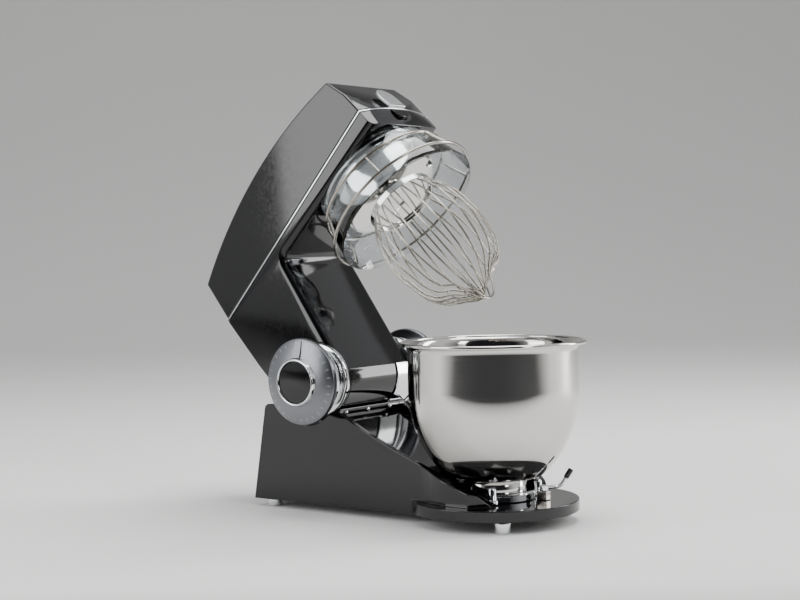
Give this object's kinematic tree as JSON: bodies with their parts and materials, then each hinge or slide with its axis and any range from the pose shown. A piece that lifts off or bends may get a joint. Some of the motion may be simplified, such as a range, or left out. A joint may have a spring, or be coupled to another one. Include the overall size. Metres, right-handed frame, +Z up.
{
  "type": "stand mixer",
  "caption": "Tilt-head stand mixer with a planetary balloon whisk, a round steel bowl on a foot plate, a clear splash guard and a hinge-mounted speed dial.",
  "frame": {"origin": "on the floor under the middle of the whole machine, head raised", "axes": "+Z up, the front with the bowl faces -Y, the speed dial is on the -X side"},
  "size_m": [0.252, 0.5324, 0.5506],
  "materials": {
    "gloss_paint": "gloss black",
    "chrome": "polished",
    "polished_steel": "polished",
    "dial_metal": "satin grey",
    "machined_steel": "machined",
    "gloss_black": "gloss",
    "dark_plastic": "matte",
    "clear_plastic": "clear",
    "rubber": "matte",
    "brass": "machined",
    "copper_winding": "satin",
    "circuit_board": "satin"
  },
  "bodies": {
    "base": {"base_casting": "gloss_paint", "slope_plate": "gloss_paint", "bottom_cover": "machined_steel", "rear_foot_1": "chrome", "rear_foot_2": "chrome", "front_foot_1": "chrome", "front_foot_2": "chrome", "cover_screw_1": "machined_steel", "cover_screw_2": "machined_steel", "cover_screw_3": "machined_steel", "cover_screw_4": "machined_steel", "barrel_stud_1": "chrome", "barrel_stud_2": "chrome", "barrel_stud_3": "chrome", "cord_gland": "rubber", "control_board": "circuit_board", "hinge_bracket": "machined_steel", "hinge_shaft": "machined_steel", "barrel_ring": "chrome", "far_barrel_ring": "chrome", "dial_collar": "chrome", "lock_knob_collar": "chrome", "speed_switch": "dark_plastic", "clamp_ring": "chrome", "lever_block": "polished_steel"},
    "dial": {"speed_dial": "dial_metal", "dial_cap": "gloss_black", "dial_shaft": "machined_steel"},
    "lock": {"lock_knob": "dial_metal", "lock_knob_cap": "gloss_black", "lock_knob_shaft": "machined_steel"},
    "arm": {"arm_casting": "gloss_paint", "hinge_barrel": "gloss_paint", "barrel_sleeve": "chrome", "top_cover": "gloss_paint", "trim_band": "chrome", "nose_badge": "polished_steel", "motor_plate": "machined_steel", "motor": "copper_winding", "drive_belt": "rubber", "gear_housing": "dark_plastic", "ring_gear": "machined_steel", "main_bearing": "machined_steel", "guard_wires": "polished_steel"},
    "button": {"nose_button": "gloss_black"},
    "rotor": {"motor_shaft": "machined_steel", "motor_pulley": "machined_steel"},
    "planet": {"main_shaft": "machined_steel", "drive_pulley": "dark_plastic", "planet_drum": "chrome", "spindle_bush": "brass"},
    "spindle": {"spindle": "polished_steel", "pinion": "machined_steel", "whisk_socket": "polished_steel", "whisk": "polished_steel"},
    "guard": {"splash_guard": "clear_plastic"},
    "lever": {"clamp_lever": "chrome"},
    "bowl": {"bowl": "polished_steel", "bowl_foot_ring": "polished_steel"}
  },
  "joints": [
    {"name": "head_tilt", "type": "hinge", "parent": "base", "child": "arm", "pos_m": [0, 0.06576, 0.173], "axis": [1, 0, 0], "range_deg": [0, 46.8]},
    {"name": "speed_dial_turn", "type": "hinge", "parent": "base", "child": "dial", "pos_m": [-0.11, 0.06576, 0.173], "axis": [-1, 0, 0], "range_deg": [0, 270]},
    {"name": "lock_knob_turn", "type": "hinge", "parent": "base", "child": "lock", "pos_m": [0.11, 0.06576, 0.173], "axis": [1, 0, 0], "range_deg": [0, 90]},
    {"name": "nose_button_press", "type": "slide", "parent": "arm", "child": "button", "axis": [0, 0.6845, -0.729], "range_m": [0, 0.003], "stiffness_N_per_m": 400, "springref_m": -0.001},
    {"name": "planet_spin", "type": "hinge", "parent": "arm", "child": "planet", "pos_m": [0, -0.00046, 0.40713], "axis": [0, 0.729, 0.6845], "continuous": true},
    {"name": "whisk_spin", "type": "hinge", "parent": "planet", "child": "spindle", "pos_m": [-0.01696, -0.01646, 0.40664], "axis": [0, 0.729, 0.6845], "continuous": true},
    {"name": "motor_spin", "type": "hinge", "parent": "arm", "child": "rotor", "pos_m": [0, 0.17785, 0.27277], "axis": [0, 0.729, 0.6845], "continuous": true},
    {"name": "guard_turn", "type": "hinge", "parent": "arm", "child": "guard", "pos_m": [0, -0.0092, 0.39891], "axis": [0, 0.729, 0.6845], "range_deg": [0, 90]},
    {"name": "clamp_lever_turn", "type": "hinge", "parent": "base", "child": "lever", "pos_m": [0.016, -0.21124, 0.042], "axis": [0, 0, 1], "range_deg": [-40, 0]},
    {"name": "bowl_lift", "type": "slide", "parent": "base", "child": "bowl", "axis": [0, 0, 1], "range_m": [0, 0.008]}
  ],
  "couplings": [
    {"joint": "whisk_spin", "follows": "planet_spin", "ratio": -2.6667},
    {"joint": "motor_spin", "follows": "planet_spin", "ratio": 3.7143}
  ]
}
